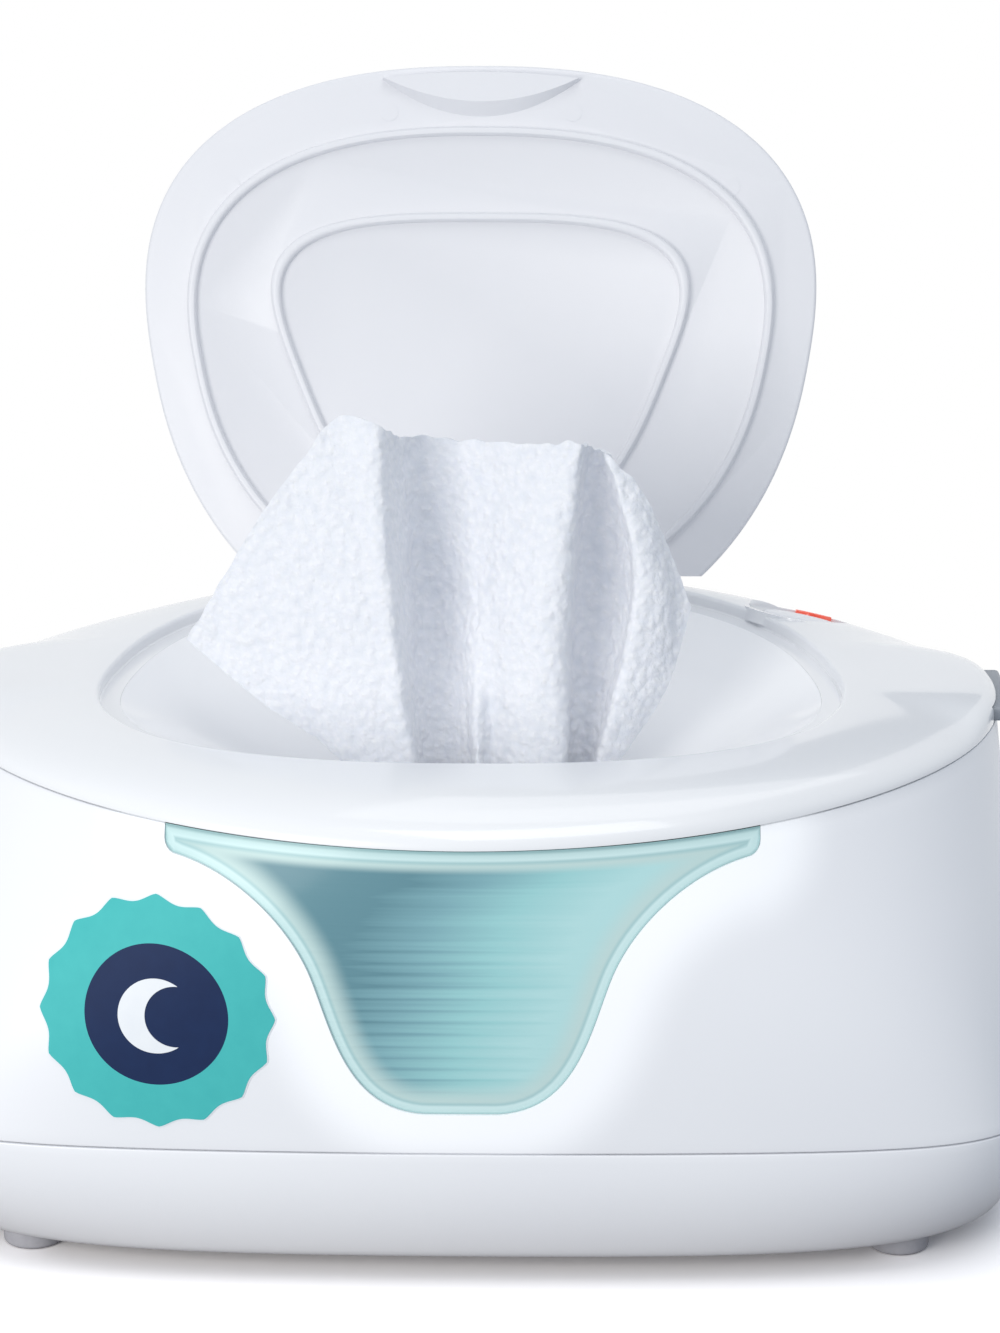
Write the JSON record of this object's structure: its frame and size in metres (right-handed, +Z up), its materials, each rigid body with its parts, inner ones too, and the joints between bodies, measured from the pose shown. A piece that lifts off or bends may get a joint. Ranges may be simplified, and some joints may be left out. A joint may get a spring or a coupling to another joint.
{
  "type": "baby wipe warmer",
  "caption": "Electric wipe warmer with a bowed casing, a hinged refill cover with a dispensing bowl, a flip lid standing open and a front night-light window.",
  "frame": {"origin": "centre of the part's box at the bottom of the feet, with the flip lid open", "axes": "+Z up, the front with the window faces -Y, +X to the right seen from the front"},
  "size_m": [0.258, 0.213, 0.2462],
  "materials": {
    "white_shell": "glossy white",
    "lid_plastic": "satin bluish white",
    "inner_plastic": "matt white",
    "window_plastic": "translucent teal",
    "diffuser_plastic": "milky, with cross ribs",
    "grey_plastic": "matt grey",
    "red_lens": "clear red",
    "foot_rubber": "matt",
    "seal_silicone": "matt",
    "wet_wipe": "embossed non-woven, damp",
    "insulation_felt": "felt",
    "heater_film": "polyimide film",
    "plate_aluminium": "rolled",
    "screw_steel": "zinc plated",
    "circuit_board": "solder mask",
    "black_plastic": "matt",
    "red_insulation": "silicone insulation"
  },
  "bodies": {
    "base": {"base_tray": "white_shell", "foot_front_left": "foot_rubber", "foot_front_right": "foot_rubber", "foot_rear_left": "foot_rubber", "foot_rear_right": "foot_rubber", "base_screw_front_left": "screw_steel", "base_screw_front_right": "screw_steel", "base_screw_rear_left": "screw_steel", "base_screw_rear_right": "screw_steel", "insulation_pad": "insulation_felt", "heater_pad": "heater_film", "heater_plate": "plate_aluminium", "thermostat": "black_plastic", "thermal_fuse": "screw_steel", "control_board": "circuit_board", "board_screw_1": "screw_steel", "board_screw_2": "screw_steel", "power_inlet": "black_plastic", "night_light_board": "circuit_board", "heater_lead": "red_insulation", "fuse_lead": "red_insulation", "light_lead": "black_plastic", "body_shell": "white_shell", "window_lens": "window_plastic", "light_diffuser": "diffuser_plastic", "wipe_tub": "inner_plastic", "wipe_stack": "wet_wipe", "cover_hinge_pin": "screw_steel"},
    "cover": {"cover_shell": "white_shell", "dispenser_bowl": "white_shell", "cover_liner": "inner_plastic", "cover_seal": "seal_silicone", "cover_screw_front_left": "screw_steel", "cover_screw_front_right": "screw_steel", "cover_screw_rear_left": "screw_steel", "cover_screw_rear_right": "screw_steel", "indicator_lens": "red_lens", "switch_board": "circuit_board", "lid_hinge_pin_left": "screw_steel", "lid_hinge_pin_right": "screw_steel", "wipe": "wet_wipe"},
    "flip_lid": {"lid": "lid_plastic"},
    "power_button": {"power_button": "white_shell"},
    "latch_right": {"latch_button_right": "grey_plastic"},
    "latch_left": {"latch_button_left": "grey_plastic"}
  },
  "joints": [
    {"name": "cover_hinge", "type": "hinge", "parent": "base", "child": "cover", "pos_m": [0, 0.09769, 0.104], "axis": [-1, 0, 0], "range_deg": [0, 78]},
    {"name": "lid_hinge", "type": "hinge", "parent": "cover", "child": "flip_lid", "pos_m": [0, 0.06539, 0.11449], "axis": [1, 0, 0], "range_deg": [0, 107.65], "deforming": ["wipe"]},
    {"name": "power_press", "type": "slide", "parent": "cover", "child": "power_button", "axis": [-0.1891, -0.1576, -0.9692], "range_m": [0, 0.0007], "stiffness_N_per_m": 600, "springref_m": -0.0003},
    {"name": "latch_right_press", "type": "slide", "parent": "cover", "child": "latch_right", "axis": [-1, 0, 0], "range_m": [0, 0.002], "stiffness_N_per_m": 500, "springref_m": -0.0005},
    {"name": "latch_left_press", "type": "slide", "parent": "cover", "child": "latch_left", "axis": [1, 0, 0], "range_m": [0, 0.002], "stiffness_N_per_m": 500, "springref_m": -0.0005}
  ]
}
